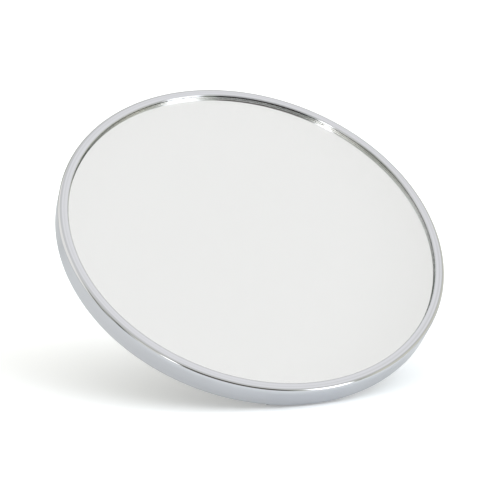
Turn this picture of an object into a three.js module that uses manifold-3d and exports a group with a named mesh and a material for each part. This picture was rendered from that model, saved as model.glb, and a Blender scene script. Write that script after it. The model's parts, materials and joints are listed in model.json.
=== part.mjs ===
// Round countertop mirror: a plain chrome rim around flat silvered glass, closed by a moulded back
// plate that carries a folding wire stand. Millimetres, +Z up. The mirror faces -Y and leans back;
// the origin is on the counter, under the middle of the whole object.
//
// Everything fixed to the mirror is drawn in the disc frame: x to the right, y up the glass, z out of
// the glass, with z = 0 on the front face of the rim. The stand is drawn in its own frame on the hinge
// axis, with its legs running along -z.

import * as THREE from "three";
import { mergeVertices } from "three/addons/utils/BufferGeometryUtils.js";
import Module from "manifold-3d";

const wasm = await Module();
wasm.setup();

// ---------------------------------------------------------------- driving dimensions

const GAP = 0.3; // between pieces that touch on the real mirror
const LEAN = radians(41); // the glass plane above the counter
const LEG_SLANT = radians(10); // the stand's legs from the vertical, feet to the back
const ROUND_STEPS = 72; // sides of the large turned pieces

const RIM = {
  radius: 100,
  backRadius: 99.8, // the side wall has a slight draft
  depth: 12.4,
  bore: 95.0, // holds the glass, from the front face to the back plate's seat
  boreEdge: 0.5,
  pocket: 97.4, // wider bore behind that seat, for the back plate and its clip
  frontFillet: 1.8,
  backFillet: 1.5,
  clearance: 0.8, // rim above the counter
};
const GLASS = { radius: 94.7, thickness: 2.0, seam: 0.3, recess: 1.2 };
const PAD = { radius: 94.0, thickness: 1.0 };
const PLATE = {
  radius: 97.0,
  flange: 3.5, // thickness of the outer ring
  wall: 2.5,
  rise: 2.5, // the middle stands back from the flange by this much
  shoulder: 86.9,
  crown: 82.5,
  ribs: 8,
  ribWidth: 1.8,
  hub: 10,
  bossRadius: 4,
};
const CLIP = { inner: 95.4, outer: 98.2, thickness: 1.2, mouth: 7, lug: 4.2, lugHole: 0.8 };
const HINGE = { y: 35, standoff: 5.7 }; // axis up the glass, and out from the back plate
const SHEET = 1.5; // bracket steel
const BRACKET = { halfWidth: 37, halfHeight: 11, corner: 3, screwX: 22, screwY: 7.5, foot: 3 };
const STOP = { along: 9, width: 4, reach: 8.3, tip: 3.2 };
const SCREW = { shank: 1.5, head: 2.9, headHeight: 2.0, slot: 0.8, slotDepth: 1.1, hole: 1.8 };
const WIRE = { radius: 2, legX: 30, topBend: 4, footBend: 7, pinEnd: 40.3, sides: 12 };
const BORE = WIRE.radius + GAP; // every hole that the wire runs in
const WASHER = { outer: 3.6, thickness: 0.9 };
const CAP = { outer: 4.2, length: 4.1, end: 0.7 };
const SLEEVE = { outer: 4.5, flat: 4.0, length: 14, x: 15.5, bevel: 0.4 };
const RIM_FOOT = { inner: 88.5, outer: 95, reach: 11, plugs: [-7, 7], plug: 1.7 };
const BUTTON = { y: -20, head: 4, neck: 1.7, barb: 2.7, hole: 2.0 };

// ---------------------------------------------------------------- sizes that follow

const GLASS_FRONT = -GLASS.recess;
const GLASS_BACK = GLASS_FRONT - GLASS.thickness;
const PAD_FRONT = GLASS_BACK - GAP;
const PAD_BACK = PAD_FRONT - PAD.thickness;
const PLATE_FRONT = PAD_BACK - GAP;
const PLATE_SEAT = PAD_BACK; // step in the rim that the back plate butts against
const FLANGE_BACK = PLATE_FRONT - PLATE.flange;
const PLATE_BACK = FLANGE_BACK - PLATE.rise;
const CAVITY = PLATE_BACK + PLATE.wall; // inner face of the plate's middle
const GROOVE_BACK = FLANGE_BACK - CLIP.thickness - 2 * GAP;
const HINGE_Z = PLATE_BACK - HINGE.standoff;
const OPEN_ANGLE = Math.PI / 2 - LEAN + LEG_SLANT; // leg to glass plane when the stand is open
const CHEEK_INNER = BRACKET.halfWidth - SHEET;
// Height of the rim's centre above the counter: its back edge is the lowest part of the leaning rim.
const CENTRE_HEIGHT =
  (RIM.backRadius - RIM.backFillet) * Math.sin(LEAN) +
  (RIM.depth - RIM.backFillet) * Math.cos(LEAN) +
  RIM.backFillet +
  RIM.clearance;
const HINGE_HEIGHT = CENTRE_HEIGHT + HINGE.y * Math.sin(LEAN) + HINGE_Z * Math.cos(LEAN);
const LEG_LENGTH = (HINGE_HEIGHT - SLEEVE.flat) / Math.cos(LEG_SLANT);

// ---------------------------------------------------------------- materials

const chrome = finish(0xd4d6da, 0.06, 1.0);
const silvered = finish(0xe8eae9, 0.02, 1.0);
const foam = finish(0x8f8f8c, 0.95, 0.0);
const mouldedBlack = finish(0x1d1e20, 0.55, 0.0);
const springSteel = finish(0x55585c, 0.35, 1.0);
const zincSteel = finish(0xb9bdc0, 0.35, 1.0);
const nylon = finish(0xe9e7df, 0.45, 0.0);
const rubber = finish(0x191919, 0.85, 0.0);

function finish(color, roughness, metalness) {
  return new THREE.MeshStandardMaterial({ color, roughness, metalness });
}

// ---------------------------------------------------------------- helpers

function radians(degrees) {
  return (degrees * Math.PI) / 180;
}

// Points of a circular arc in a profile, both ends included.
function arc(x, y, radius, fromDegrees, toDegrees, steps) {
  return Array.from({ length: steps + 1 }, (_, i) => {
    const angle = radians(fromDegrees + ((toDegrees - fromDegrees) * i) / steps);
    return [x + radius * Math.cos(angle), y + radius * Math.sin(angle)];
  });
}

// A turned solid about z. The profile is [radius, z] pairs, anticlockwise.
function turned(profile, steps = ROUND_STEPS) {
  const points = profile.map(([r, z]) => new THREE.Vector2(r, z));
  if (profile[0][0] > 0) points.push(points[0].clone());
  return new THREE.LatheGeometry(points, steps).rotateX(Math.PI / 2);
}

// A shape extruded along +z from z = low to z = high.
function plate(shape, low, high, options = {}) {
  const settings = { depth: high - low, bevelEnabled: false, curveSegments: 4, ...options };
  return new THREE.ExtrudeGeometry(shape, settings).translate(0, 0, low);
}

function cylinder(radius, low, high, x = 0, y = 0, sides = 20) {
  const geometry = new THREE.CylinderGeometry(radius, radius, high - low, sides);
  return geometry.rotateX(Math.PI / 2).translate(x, y, (low + high) / 2);
}

function block(width, depth, height, x, y, z) {
  return new THREE.BoxGeometry(width, depth, height).translate(x, y, z);
}

// Turns geometry drawn in (x, y, z) so that it lies in (y, z, x): across the hinge axis.
function acrossHinge(geometry) {
  const axes = [new THREE.Vector3(0, 1, 0), new THREE.Vector3(0, 0, 1), new THREE.Vector3(1, 0, 0)];
  return geometry.applyMatrix4(new THREE.Matrix4().makeBasis(...axes));
}

function roundedRectangle(halfWidth, halfHeight, corner) {
  const shape = new THREE.Shape();
  const x = halfWidth - corner;
  const y = halfHeight - corner;
  shape.absarc(x, -y, corner, -Math.PI / 2, 0);
  shape.absarc(x, y, corner, 0, Math.PI / 2);
  shape.absarc(-x, y, corner, Math.PI / 2, Math.PI);
  shape.absarc(-x, -y, corner, Math.PI, 1.5 * Math.PI);
  return shape;
}

// Any closed three.js geometry as a solid that can be joined and cut.
function solid(geometry) {
  const bare = geometry.index ? geometry.toNonIndexed() : geometry.clone();
  bare.deleteAttribute("normal");
  bare.deleteAttribute("uv");
  const merged = mergeVertices(bare, 1e-4);
  const mesh = { numProp: 3, vertProperties: merged.attributes.position.array };
  return new wasm.Manifold(new wasm.Mesh({ ...mesh, triVerts: new Uint32Array(merged.index.array) }));
}

function joined(...geometries) {
  return geometries.map(solid).reduce((sum, next) => sum.add(next));
}

function cut(body, ...geometries) {
  return geometries.map(solid).reduce((rest, tool) => rest.subtract(tool), body);
}

function geometryOf(body) {
  const { vertProperties, triVerts } = body.getMesh();
  const geometry = new THREE.BufferGeometry();
  geometry.setAttribute("position", new THREE.BufferAttribute(vertProperties, 3));
  geometry.setIndex(new THREE.BufferAttribute(triVerts, 1));
  geometry.computeVertexNormals();
  return geometry;
}

function piece(name, geometry, material) {
  const mesh = new THREE.Mesh(geometry, material);
  mesh.name = name;
  return mesh;
}

const SIDES = [
  ["left", -1],
  ["right", 1],
];

// ---------------------------------------------------------------- the mirror itself

// The rim: flat front face, drafted side wall, a bore for the glass, and behind a step that seats the
// back plate a wider bore with a clip groove.
function rim() {
  const edge = RIM.boreEdge;
  const inner = RIM.pocket;
  return turned([
    ...arc(RIM.backRadius - RIM.backFillet, RIM.backFillet - RIM.depth, RIM.backFillet, -90, 0, 4),
    ...arc(RIM.radius - RIM.frontFillet, -RIM.frontFillet, RIM.frontFillet, 0, 90, 5),
    ...arc(RIM.bore + edge, -edge, edge, 90, 180, 2),
    [RIM.bore, PLATE_SEAT],
    [inner, PLATE_SEAT],
    [inner, FLANGE_BACK],
    [CLIP.outer + GAP, FLANGE_BACK],
    [CLIP.outer + GAP, GROOVE_BACK],
    [inner, GROOVE_BACK],
    [inner, -RIM.depth + GAP],
    [inner + GAP, -RIM.depth],
  ]);
}

// A round sheet of glass with its two edges seamed.
function mirrorGlass() {
  const { radius, seam } = GLASS;
  return turned([
    [0, GLASS_BACK],
    [radius - seam, GLASS_BACK],
    [radius, GLASS_BACK + seam],
    [radius, GLASS_FRONT - seam],
    [radius - seam, GLASS_FRONT],
    [0, GLASS_FRONT],
  ]);
}

function foamPad() {
  return turned([
    [0, PAD_BACK],
    [PAD.radius, PAD_BACK],
    [PAD.radius, PAD_FRONT],
    [0, PAD_FRONT],
  ]);
}

const BRACKET_SCREWS = [
  [-BRACKET.screwX, HINGE.y + BRACKET.screwY],
  [BRACKET.screwX, HINGE.y + BRACKET.screwY],
  [-BRACKET.screwX, HINGE.y - BRACKET.screwY],
  [BRACKET.screwX, HINGE.y - BRACKET.screwY],
];

// Places of the plugs that hold the rim foot, measured round from the bottom of the rim.
const FOOT_PLUGS = RIM_FOOT.plugs.map((degrees) => {
  const middle = (RIM_FOOT.inner + RIM_FOOT.outer) / 2;
  return [middle * Math.sin(radians(degrees)), -middle * Math.cos(radians(degrees))];
});

// The back plate: a moulded shell with ribs and screw bosses on its inner side.
function backPlate() {
  const inner = PLATE.crown - 1;
  const shell = turned([
    [0, PLATE_BACK],
    [PLATE.crown, PLATE_BACK],
    [PLATE.crown + 1.2, PLATE_BACK + 0.3],
    [PLATE.shoulder - 1.2, FLANGE_BACK - 0.3],
    [PLATE.shoulder, FLANGE_BACK],
    [PLATE.radius, FLANGE_BACK],
    [PLATE.radius, PLATE_FRONT - GAP],
    [PLATE.radius - GAP, PLATE_FRONT],
    [PLATE.shoulder - 1.4, PLATE_FRONT],
    [inner, CAVITY],
    [0, CAVITY],
  ]);
  const root = CAVITY - 0.5; // ribs and bosses start inside the wall
  const ribLength = PLATE.crown - PLATE.hub;
  const ribs = Array.from({ length: PLATE.ribs }, (_, i) =>
    block(
      ribLength,
      PLATE.ribWidth,
      PLATE_FRONT - root,
      PLATE.hub + ribLength / 2,
      0,
      (PLATE_FRONT + root) / 2,
    ).rotateZ(((i + 0.5) * 2 * Math.PI) / PLATE.ribs),
  );
  const hub = cylinder(PLATE.hub + 1, root, PLATE_FRONT, 0, 0, 32);
  const bosses = BRACKET_SCREWS.map(([x, y]) => cylinder(PLATE.bossRadius, root, PLATE_FRONT, x, y));
  const through = (radius, x, y) => cylinder(radius, PLATE_BACK - 1, PLATE_FRONT + 1, x, y);
  const holes = [
    ...BRACKET_SCREWS.map(([x, y]) => through(SCREW.hole, x, y)),
    ...FOOT_PLUGS.map(([x, y]) => through(RIM_FOOT.plug + GAP, x, y)),
    ...SIDES.map(([, side]) => through(BUTTON.hole, side * WIRE.legX, BUTTON.y)),
  ];
  return geometryOf(cut(joined(shell, ...ribs, hub, ...bosses), ...holes));
}

// Internal spring clip behind the back plate's flange, with its mouth at the top.
function retainingRing() {
  const back = FLANGE_BACK - GAP - CLIP.thickness;
  const front = FLANGE_BACK - GAP;
  const gap = CLIP.mouth / 2 / CLIP.outer;
  const band = new THREE.Shape();
  const start = Math.PI / 2 + gap;
  const end = Math.PI / 2 - gap + 2 * Math.PI;
  band.absarc(0, 0, CLIP.outer, start, end, false);
  band.absarc(0, 0, CLIP.inner, end, start, true);
  const ring = plate(band, back, front, { curveSegments: ROUND_STEPS / 2 });
  const lugY = CLIP.inner - CLIP.lug / 2 + 1;
  const lugX = (CLIP.mouth + CLIP.lug) / 2;
  const lug = (side) => cylinder(CLIP.lug / 2 + 0.6, back, front, side * lugX, lugY);
  const eye = (side) => cylinder(CLIP.lugHole, back - 1, front + 1, side * lugX, lugY, 10);
  return geometryOf(cut(joined(ring, lug(-1), lug(1)), eye(-1), eye(1)));
}

// Rubber foot behind the bottom of the rim: a sector plugged into the flange, cut level with the counter.
function rimFoot() {
  const top = FLANGE_BACK - GAP;
  const long = 30;
  const down = -Math.PI / 2;
  const half = radians(RIM_FOOT.reach);
  const sector = new THREE.Shape();
  sector.absarc(0, 0, RIM_FOOT.outer, down - half, down + half, false);
  sector.absarc(0, 0, RIM_FOOT.inner, down + half, down - half, true);
  const body = plate(sector, top - long, top, { curveSegments: 6 });
  const plugEnd = PLATE_FRONT - GAP;
  const plugs = FOOT_PLUGS.map(([x, y]) => cylinder(RIM_FOOT.plug, top - 1, plugEnd, x, y, 16));
  const counter = block(300, 300, 100, 0, 0, -CENTRE_HEIGHT - 50).rotateX(-LEAN);
  return geometryOf(cut(joined(body, ...plugs), counter));
}

// Rubber button that the folded stand rests on, snapped through the back plate.
function foldRest() {
  const seat = PLATE_BACK - GAP;
  const tip = HINGE_Z + WIRE.radius + GAP;
  const profile = [
    [0, tip],
    [BUTTON.head - 1.6, tip],
    [BUTTON.head - 0.6, tip + 0.4],
    [BUTTON.head, tip + 1.4],
    [BUTTON.head, seat],
    [BUTTON.neck, seat],
    [BUTTON.neck, CAVITY + GAP],
    [BUTTON.barb, CAVITY + GAP],
    [BUTTON.barb - 1.2, PLATE_FRONT - 2 * GAP],
    [0, PLATE_FRONT - 2 * GAP],
  ];
  return turned(profile, 20);
}

// ---------------------------------------------------------------- hinge bracket and screws

// Folded sheet steel, drawn on the hinge axis: base, two cheeks, and a lug that stops each leg.
function hingeBracket() {
  const baseTop = HINGE.standoff - GAP;
  const baseBottom = baseTop - SHEET;
  const base = plate(
    roundedRectangle(BRACKET.halfWidth, BRACKET.halfHeight, BRACKET.corner),
    baseBottom,
    baseTop,
  );
  const away = WIRE.radius + GAP + SHEET / 2;
  const stopY = -STOP.along * Math.cos(OPEN_ANGLE) + away * Math.sin(OPEN_ANGLE);
  const stopZ = -STOP.along * Math.sin(OPEN_ANGLE) - away * Math.cos(OPEN_ANGLE);
  const outline = new THREE.Shape();
  outline.moveTo(BRACKET.halfHeight - BRACKET.corner, baseTop);
  outline.lineTo(-BRACKET.halfHeight + BRACKET.corner, baseTop);
  outline.lineTo(-BRACKET.halfHeight + BRACKET.corner, BRACKET.foot);
  outline.absarc(stopY, stopZ, STOP.tip, Math.PI, 2 * Math.PI, false);
  outline.lineTo(BRACKET.halfHeight - BRACKET.corner, BRACKET.foot);
  const parts = [base];
  const holes = [];
  for (const [, side] of SIDES) {
    const low = side > 0 ? CHEEK_INNER : -BRACKET.halfWidth;
    parts.push(acrossHinge(plate(outline, low, low + SHEET)));
    const lugX = side * (CHEEK_INNER + SHEET / 2 - STOP.reach / 2);
    const lug = block(STOP.reach, STOP.width, SHEET, 0, 0, 0);
    parts.push(lug.rotateX(OPEN_ANGLE).translate(lugX, stopY, stopZ));
    for (const y of [-BRACKET.screwY, BRACKET.screwY]) {
      holes.push(cylinder(SCREW.hole, baseBottom - 1, baseTop + 1, side * BRACKET.screwX, y));
    }
  }
  holes.push(acrossHinge(cylinder(BORE, -BRACKET.halfWidth - 1, BRACKET.halfWidth + 1)));
  return geometryOf(cut(joined(...parts), ...holes));
}

// Pan-head screw, drawn in the disc frame with its head to the back.
function bracketScrew() {
  const seat = PLATE_BACK - 2 * GAP - SHEET;
  const top = seat - SCREW.headHeight;
  const end = PLATE_FRONT - GAP;
  const body = turned(
    [
      [0, top],
      [SCREW.head - 1.3, top + 0.15],
      [SCREW.head - 0.4, top + 0.7],
      [SCREW.head, seat - 0.5],
      [SCREW.head, seat],
      [SCREW.shank, seat],
      [SCREW.shank, end - 0.8],
      [SCREW.shank - 0.7, end],
      [0, end],
    ],
    16,
  );
  const depth = 2 * SCREW.slotDepth;
  const length = 2 * SCREW.head - 2.4;
  return geometryOf(
    cut(
      solid(body),
      block(length, SCREW.slot, depth, 0, 0, top),
      block(SCREW.slot, length, depth, 0, 0, top),
    ),
  );
}

// ---------------------------------------------------------------- the folding stand

// Centre line of the bent wire, in the stand's own plane. Every straight takes one step of the
// parameter and every bend as many as BEND_STEPS, so that the bends stay round.
const BEND_STEPS = 6;

class WirePath extends THREE.Curve {
  constructor(corners) {
    super();
    this.runs = [];
    let from = corners[0].at;
    for (let i = 1; i < corners.length - 1; i++) {
      const { at, bend } = corners[i];
      const back = at.clone().sub(corners[i - 1].at).normalize();
      const on = corners[i + 1].at.clone().sub(at).normalize();
      const enter = at.clone().addScaledVector(back, -bend);
      const leave = at.clone().addScaledVector(on, bend);
      this.runs.push({ steps: 1, point: straight(from, enter) });
      this.runs.push({ steps: BEND_STEPS, point: quarterBend(enter, at, leave) });
      from = leave;
    }
    this.runs.push({ steps: 1, point: straight(from, corners[corners.length - 1].at) });
    this.steps = this.runs.reduce((sum, run) => sum + run.steps, 0);
  }

  getPoint(t, target = new THREE.Vector3()) {
    let place = t * this.steps;
    for (const run of this.runs) {
      if (place <= run.steps) return target.copy(run.point(place / run.steps));
      place -= run.steps;
    }
    return target.copy(this.runs[this.runs.length - 1].point(1));
  }

  getPointAt(u, target) {
    return this.getPoint(u, target);
  }

  getTangentAt(u, target) {
    return this.getTangent(u, target);
  }
}

function straight(from, to) {
  return (t) => from.clone().lerp(to, t);
}

// A right-angled bend from enter to leave, round the centre opposite the corner.
function quarterBend(enter, corner, leave) {
  const centre = enter.clone().add(leave).sub(corner);
  const start = enter.clone().sub(centre);
  const end = leave.clone().sub(centre);
  return (t) => {
    const angle = (t * Math.PI) / 2;
    return centre.clone().addScaledVector(start, Math.cos(angle)).addScaledVector(end, Math.sin(angle));
  };
}

function standWire() {
  const corner = (x, z, bend = 0) => ({ at: new THREE.Vector3(x, 0, z), bend });
  const path = new WirePath([
    corner(-WIRE.pinEnd, 0),
    corner(-WIRE.legX, 0, WIRE.topBend),
    corner(-WIRE.legX, -LEG_LENGTH, WIRE.footBend),
    corner(WIRE.legX, -LEG_LENGTH, WIRE.footBend),
    corner(WIRE.legX, 0, WIRE.topBend),
    corner(WIRE.pinEnd, 0),
  ]);
  const section = new THREE.Shape().absarc(0, 0, WIRE.radius, 0, 2 * Math.PI);
  const settings = { steps: path.steps, extrudePath: path, curveSegments: WIRE.sides / 2 };
  return new THREE.ExtrudeGeometry(section, { ...settings, bevelEnabled: false });
}

// Nylon washer between the wire's shoulder and the cheek.
function pivotWasher(side) {
  const inner = side > 0 ? CHEEK_INNER - GAP - WASHER.thickness : -CHEEK_INNER + GAP;
  const profile = [
    [BORE, inner],
    [WASHER.outer, inner],
    [WASHER.outer, inner + WASHER.thickness],
    [BORE, inner + WASHER.thickness],
  ];
  return turned(profile, 20).rotateY(Math.PI / 2);
}

// Push-on cap that keeps the wire's end in the cheek.
function pivotCap(side) {
  const low = BRACKET.halfWidth + GAP;
  const high = low + CAP.length;
  const profile = [
    [BORE, low],
    [CAP.outer, low],
    [CAP.outer, high - 1.2],
    [CAP.outer - 0.4, high - 0.4],
    [CAP.outer - 1.4, high],
    [0, high],
    [0, high - CAP.end],
    [BORE, high - CAP.end],
  ];
  const points = [...profile.slice(6), ...profile.slice(0, 6)];
  return turned(points, 20).rotateY((side * Math.PI) / 2);
}

// Rubber sleeve on the stand's cross bar, with a level face for the counter.
function standFoot(side) {
  const half = Math.acos((SLEEVE.flat - SLEEVE.bevel) / (SLEEVE.outer - SLEEVE.bevel));
  const down = -Math.PI / 2;
  const outline = new THREE.Shape();
  outline.absarc(0, 0, SLEEVE.outer - SLEEVE.bevel, down + half, down - half + 2 * Math.PI, false);
  outline.closePath();
  outline.holes.push(new THREE.Path().absarc(0, 0, BORE + SLEEVE.bevel, 0, 2 * Math.PI));
  const low = side * SLEEVE.x - SLEEVE.length / 2 + SLEEVE.bevel;
  const high = side * SLEEVE.x + SLEEVE.length / 2 - SLEEVE.bevel;
  const rounding = {
    bevelEnabled: true,
    bevelSize: SLEEVE.bevel,
    bevelThickness: SLEEVE.bevel,
    bevelSegments: 2,
  };
  return acrossHinge(plate(outline, low, high, rounding));
}

// ---------------------------------------------------------------- assembly

const disc = new THREE.Group();
disc.rotation.x = LEAN;
disc.add(
  piece("rim", rim(), chrome),
  piece("mirror_glass", mirrorGlass(), silvered),
  piece("foam_pad", foamPad(), foam),
  piece("back_plate", backPlate(), mouldedBlack),
  piece("retaining_ring", retainingRing(), springSteel),
  piece("rim_foot", rimFoot(), rubber),
);
const bracket = piece("hinge_bracket", hingeBracket(), zincSteel);
bracket.position.set(0, HINGE.y, HINGE_Z);
disc.add(bracket);
BRACKET_SCREWS.forEach(([x, y], i) => {
  const screw = piece(`bracket_screw_${i + 1}`, bracketScrew(), zincSteel);
  screw.position.set(x, y, 0);
  disc.add(screw);
});

const stand = new THREE.Group();
stand.position.set(0, HINGE.y, HINGE_Z);
stand.rotation.x = LEG_SLANT - LEAN;
stand.add(piece("stand_wire", standWire(), chrome));
disc.add(stand);

for (const [word, side] of SIDES) {
  const rest = piece(`fold_rest_${word}`, foldRest(), rubber);
  rest.position.set(side * WIRE.legX, BUTTON.y, 0);
  disc.add(rest);
  stand.add(piece(`pivot_washer_${word}`, pivotWasher(side), nylon));
  stand.add(piece(`pivot_cap_${word}`, pivotCap(side), zincSteel));
  const foot = piece(`stand_foot_${word}`, standFoot(side), rubber);
  foot.position.z = -LEG_LENGTH;
  foot.rotation.x = -LEG_SLANT;
  stand.add(foot);
}

const mirror = new THREE.Group();
mirror.add(disc);
disc.position.z = CENTRE_HEIGHT;
mirror.updateMatrixWorld(true);
const box = new THREE.Box3().setFromObject(mirror, true);
disc.position.y = -(box.min.y + box.max.y) / 2;

export default mirror;
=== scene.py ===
"""Round countertop mirror: every visible piece is re-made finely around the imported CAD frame.

Dimensions are in millimetres and are named as in the CAD source; meshes are scaled to metres when they
become pieces. Places come from the frame: DISC is the frame of the mirror (x to the right, y up the
glass, z out of the glass, z = 0 on the rim's front face), BRACKET_PLACE is the same directions on the
hinge axis, and STAND is the stand's own frame on that axis, with the legs running along -z.
"""

import json
import math

import bmesh
import bpy
from mathutils import Matrix, Vector


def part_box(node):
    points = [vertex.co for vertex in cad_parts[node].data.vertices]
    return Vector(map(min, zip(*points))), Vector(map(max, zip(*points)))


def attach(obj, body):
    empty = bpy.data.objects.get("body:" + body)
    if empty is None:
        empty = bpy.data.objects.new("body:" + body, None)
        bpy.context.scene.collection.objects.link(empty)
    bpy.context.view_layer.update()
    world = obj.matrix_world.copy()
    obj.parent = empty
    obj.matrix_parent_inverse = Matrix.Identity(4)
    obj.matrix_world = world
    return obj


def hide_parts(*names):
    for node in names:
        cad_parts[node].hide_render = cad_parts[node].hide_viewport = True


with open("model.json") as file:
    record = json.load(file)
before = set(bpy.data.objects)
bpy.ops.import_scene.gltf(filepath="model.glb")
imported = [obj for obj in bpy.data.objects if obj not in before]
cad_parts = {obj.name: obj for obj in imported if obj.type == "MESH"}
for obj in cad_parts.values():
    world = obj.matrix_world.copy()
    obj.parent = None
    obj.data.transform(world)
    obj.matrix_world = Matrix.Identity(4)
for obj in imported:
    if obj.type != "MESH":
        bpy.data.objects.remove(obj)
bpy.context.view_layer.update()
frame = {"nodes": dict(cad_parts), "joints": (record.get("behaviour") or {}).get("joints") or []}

# ---------------------------------------------------------------- driving dimensions, millimetres

MM = 0.001
TURN_STEPS = 512  # sides of the large turned pieces
SMALL_STEPS = 64  # sides of the small turned pieces

RIM = {
    "radius": 100.0,
    "back_radius": 99.8,
    "depth": 12.4,
    "bore": 95.0,
    "bore_edge": 0.4,
    "pocket": 97.4,
    "front_fillet": 1.8,
    "back_fillet": 1.5,
}
GLASS = {"radius": 94.7, "thickness": 2.0, "seam": 0.3, "recess": 1.2, "fill": 0.22}  # fill: drawn wider
COAT = {"gap": 0.02, "thickness": 0.1}  # silver and its backing paint behind the glass
PAD = {"radius": 94.0, "thickness": 1.0}
PLATE = {
    "radius": 97.0,
    "flange": 3.5,
    "wall": 2.5,
    "rise": 2.5,
    "shoulder": 86.9,
    "crown": 82.5,
    "ribs": 8,
    "rib_width": 1.8,
    "hub": 10.0,
    "boss_radius": 4.0,
    "soft": 0.8,  # radius where the step meets the middle
    "rings": (46.0, 62.0),
    "ring_depth": 0.35,
    "ring_floor": 0.5,  # half the width of a ring at its floor and at its top
    "ring_top": 0.9,
}
CLIP = {
    "inner": 95.4,
    "outer": 98.2,
    "thickness": 1.2,
    "mouth": 7.0,
    "lug": 4.2,
    "lug_hole": 0.8,
    "lug_wall": 0.6,
}
CLEAR = 0.3  # the CAD's gap between pieces that touch
STANDOFF = 5.7  # hinge axis behind the back plate
SHEET = 1.5
BRACKET = {
    "half_width": 37.0,
    "half_height": 11.0,
    "corner": 3.0,
    "screw_x": 22.0,
    "screw_y": 7.5,
    "foot": 3.0,
    "bend": 1.0,  # inside radius of the two folds
}
STOP = {"along": 9.0, "width": 4.0, "reach": 8.3, "tip": 3.2}
SCREW = {
    "shank": 1.5,
    "head": 2.9,
    "head_height": 2.0,
    "dome": 1.3,
    "slot": 0.8,
    "slot_depth": 1.1,
    "hole": 1.8,
    "pitch": 1.0,
    "thread_depth": 0.35,
}
WIRE = {"radius": 2.0, "leg_x": 30.0, "top_bend": 4.0, "foot_bend": 7.0, "pin_end": 40.3, "chamfer": 0.4}
BORE = WIRE["radius"] + CLEAR
WASHER = {"outer": 3.6, "thickness": 0.9}
CAP = {"outer": 4.2, "length": 4.1, "end": 0.7, "collar": 0.8, "step": 0.5, "dome": 1.4}
SLEEVE = {"outer": 4.5, "flat": 4.0, "length": 14.0}
RIM_FOOT = {"inner": 88.5, "outer": 95.0, "reach": 11.0, "plugs": (-7.0, 7.0), "plug": 1.7}
BUTTON = {"y": -20.0, "head": 4.0, "dome": 1.4, "neck": 1.7, "barb": 2.7, "taper": 1.2, "hole": 2.0}
SIDES = (("left", -1), ("right", 1))

GLASS_FRONT = -GLASS["recess"]
GLASS_BACK = GLASS_FRONT - GLASS["thickness"]
PAD_FRONT = GLASS_BACK - CLEAR
PAD_BACK = PAD_FRONT - PAD["thickness"]
PLATE_FRONT = PAD_BACK - CLEAR
LIP_FALL = 0.11  # the lip falls this much to the rounded edge of the bore
LIP_LINES = [(97.85, 0.0), (97.5, -0.055), (97.15, 0.0), (95.9, 0.0)]  # a turned line, then the fall
FLANGE_BACK = PLATE_FRONT - PLATE["flange"]
PLATE_BACK = FLANGE_BACK - PLATE["rise"]
CAVITY = PLATE_BACK + PLATE["wall"]
GROOVE_BACK = FLANGE_BACK - CLIP["thickness"] - 2 * CLEAR
HINGE_Z = PLATE_BACK - STANDOFF

# ---------------------------------------------------------------- places, from the frame


def disc_place():
    """The mirror's frame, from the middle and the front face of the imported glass."""
    glass = frame["nodes"]["mirror_glass"].data
    front = max(glass.polygons, key=lambda face: -face.normal.y * face.area)
    out = front.normal.copy()
    low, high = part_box("mirror_glass")
    middle = (low + high) / 2
    origin = middle + out * (GLASS["thickness"] / 2 - GLASS_FRONT) * MM
    return placed(Vector((1, 0, 0)), out.cross(Vector((1, 0, 0))), out, origin)


def placed(x_axis, y_axis, z_axis, origin):
    turn = Matrix((x_axis, y_axis, z_axis)).transposed().to_4x4()
    return Matrix.Translation(origin) @ turn


def stand_place():
    """The stand's frame: legs along -z, from the hinge to the middle of its cross bar."""
    low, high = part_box("stand_foot_left")
    bar = Vector((0, (low.y + high.y) / 2, SLEEVE["flat"] * MM))
    legs = HINGE - bar
    up = legs.normalized()
    return placed(Vector((1, 0, 0)), up.cross(Vector((1, 0, 0))), up, HINGE), legs.length / MM


HINGE = Vector(frame["joints"][0]["pos_m"])
DISC = disc_place()
BRACKET_PLACE = Matrix.Translation(HINGE) @ DISC.to_3x3().to_4x4()
HINGE_Y = (DISC.inverted() @ HINGE).y / MM
STAND, LEG_LENGTH = stand_place()
OPEN_ANGLE = STAND.col[2].to_3d().angle(DISC.col[1].to_3d())

# ---------------------------------------------------------------- mesh helpers


def arc(x, y, radius, start, end, steps):
    """Points of a circular arc, both ends included; the angles are in degrees."""
    angles = [math.radians(start + (end - start) * i / steps) for i in range(steps + 1)]
    return [(x + radius * math.cos(a), y + radius * math.sin(a)) for a in angles]


def circle(x, y, radius, steps=48):
    return arc(x, y, radius, 0, 360, steps)[:-1]


def lathe(profile, steps=TURN_STEPS):
    """A solid turned about z. The profile is (radius, z) pairs, anticlockwise."""
    bm = bmesh.new()
    turns = [2 * math.pi * i / steps for i in range(steps)]
    rings = []
    for radius, z in profile:
        if radius == 0:
            rings.append([bm.verts.new((0, 0, z))] * steps)
        else:
            rings.append([bm.verts.new((radius * math.cos(a), radius * math.sin(a), z)) for a in turns])
    following = rings[1:] if profile[0][0] == 0 else rings[1:] + rings[:1]
    for low, high in zip(rings, following):
        for i in range(steps):
            j = (i + 1) % steps
            corners = list(dict.fromkeys((low[i], low[j], high[j], high[i])))
            if len(corners) > 2:
                bm.faces.new(corners)
    return bm


def slab(outlines, low, high):
    """A flat piece from z = low to high: the first outline is its edge, the others are holes."""
    bm = bmesh.new()
    edges = []
    for outline in outlines:
        ring = [bm.verts.new((x, y, low)) for x, y in outline]
        edges += [bm.edges.new(pair) for pair in zip(ring, ring[1:] + ring[:1])]
    bmesh.ops.triangle_fill(bm, edges=edges, use_beauty=True)
    raised = bmesh.ops.extrude_face_region(bm, geom=bm.faces[:], use_keep_orig=True)
    tops = [item for item in raised["geom"] if isinstance(item, bmesh.types.BMVert)]
    bmesh.ops.translate(bm, verts=tops, vec=(0, 0, high - low))
    bmesh.ops.recalc_face_normals(bm, faces=bm.faces)
    return bm


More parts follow.
